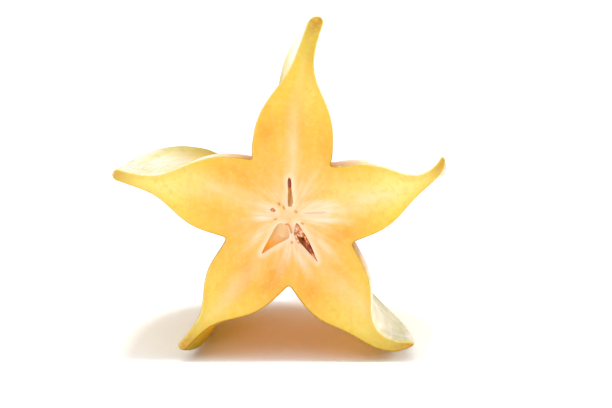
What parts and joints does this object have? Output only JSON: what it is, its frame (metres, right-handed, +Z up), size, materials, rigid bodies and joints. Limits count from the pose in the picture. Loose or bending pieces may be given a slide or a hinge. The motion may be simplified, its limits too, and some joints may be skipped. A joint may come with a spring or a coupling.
{
  "type": "star fruit half",
  "caption": "Half of a ripe star fruit cut straight across: a ribbed waxy body with a flat star-shaped cut face, open seed chambers with seeds, and a dry stem stub; food to slice or display.",
  "frame": {"origin": "middle of the bottom of the bounding box, on the surface the half stands on", "axes": "+Y from the cut face towards the stem end, +X to the right of somebody facing the cut, +Z up"},
  "size_m": [0.0808, 0.0642, 0.0829],
  "materials": {
    "fruit": "moist, slightly translucent orange-yellow flesh under a smooth waxy skin",
    "seed": "smooth dark brown seed coat",
    "aril": "wet crinkled jelly",
    "stalk": "dry and rough"
  },
  "bodies": {
    "root": {"fruit_body": "fruit", "seed_top": "seed", "seed_lower_right": "seed", "aril_lower_right": "aril", "stem_stub": "stalk"}
  },
  "joints": []
}
